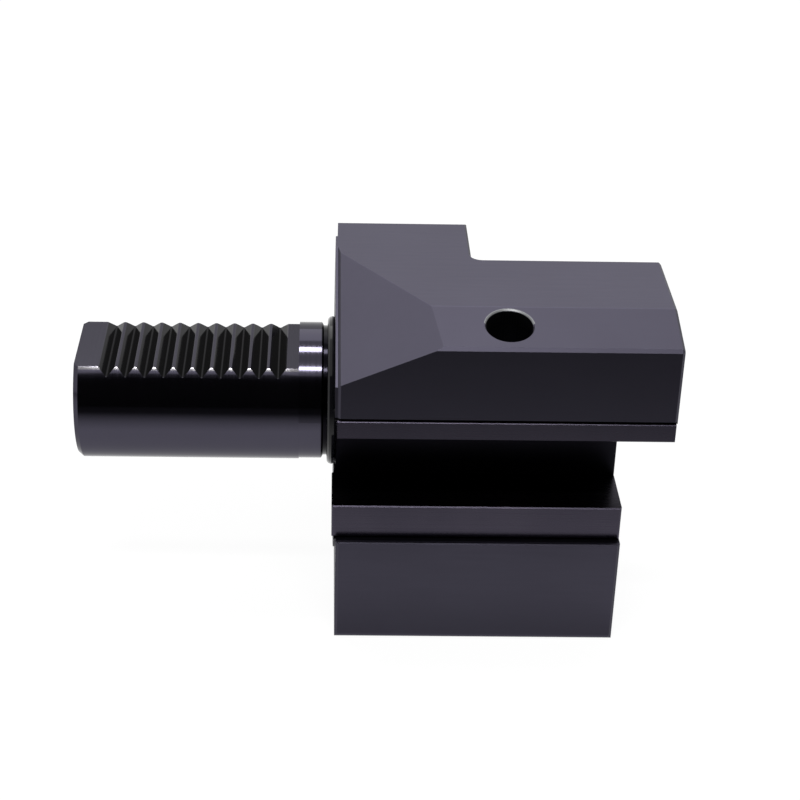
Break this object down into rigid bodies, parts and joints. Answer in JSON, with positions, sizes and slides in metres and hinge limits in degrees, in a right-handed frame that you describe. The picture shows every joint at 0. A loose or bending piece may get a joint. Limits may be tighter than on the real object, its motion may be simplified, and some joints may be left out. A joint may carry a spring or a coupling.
{
  "type": "straight shank turret tool holder",
  "caption": "Black-oxide turret tool holder: toothed round shank, flange and an open square tool slot with a fixed plate above and a screw-raised clamping gib below.",
  "frame": {"origin": "on the shank axis, in the plane of the raised flange face", "axes": "+X along the shank axis from the flange to the nose, +Y away from the open side of the tool slot, +Z towards the toothed side of the shank"},
  "size_m": [0.125, 0.066, 0.0737],
  "materials": {
    "blackened_steel": "black oxide on milled steel",
    "ground_plate": "black oxide on ground steel",
    "screw_steel": "blackened screws",
    "nozzle_steel": "bright turned steel",
    "seal_rubber": "oiled black rubber"
  },
  "bodies": {
    "holder": {"holder_body": "blackened_steel", "shank_seal": "seal_rubber", "inlet_seal": "seal_rubber", "support_plate": "ground_plate", "plate_screw": "screw_steel", "nozzle_ring": "nozzle_steel", "bore_plug": "screw_steel"},
    "gib": {"clamp_gib": "ground_plate", "gib_screw_1": "screw_steel", "gib_screw_2": "screw_steel"},
    "screw_1": {"clamp_screw_1": "screw_steel"},
    "screw_2": {"clamp_screw_2": "screw_steel"},
    "screw_3": {"clamp_screw_3": "screw_steel"},
    "nozzle": {"nozzle_ball": "nozzle_steel"}
  },
  "joints": [
    {"name": "gib_lift", "type": "slide", "parent": "holder", "child": "gib", "axis": [0, 0, 1], "range_m": [0, 0.002]},
    {"name": "screw_1_feed", "type": "slide", "parent": "holder", "child": "screw_1", "axis": [0, 0, 1], "range_m": [0, 0.002]},
    {"name": "screw_2_feed", "type": "slide", "parent": "holder", "child": "screw_2", "axis": [0, 0, 1], "range_m": [0, 0.002]},
    {"name": "screw_3_feed", "type": "slide", "parent": "holder", "child": "screw_3", "axis": [0, 0, 1], "range_m": [0, 0.002]},
    {"name": "nozzle_tilt", "type": "hinge", "parent": "holder", "child": "nozzle", "pos_m": [0.0566, -0.002, -0.012], "axis": [0, 1, 0], "range_deg": [-20, 20]}
  ],
  "couplings": [
    {"joint": "screw_1_feed", "follows": "gib_lift", "ratio": 1},
    {"joint": "screw_2_feed", "follows": "gib_lift", "ratio": 1},
    {"joint": "screw_3_feed", "follows": "gib_lift", "ratio": 1}
  ]
}
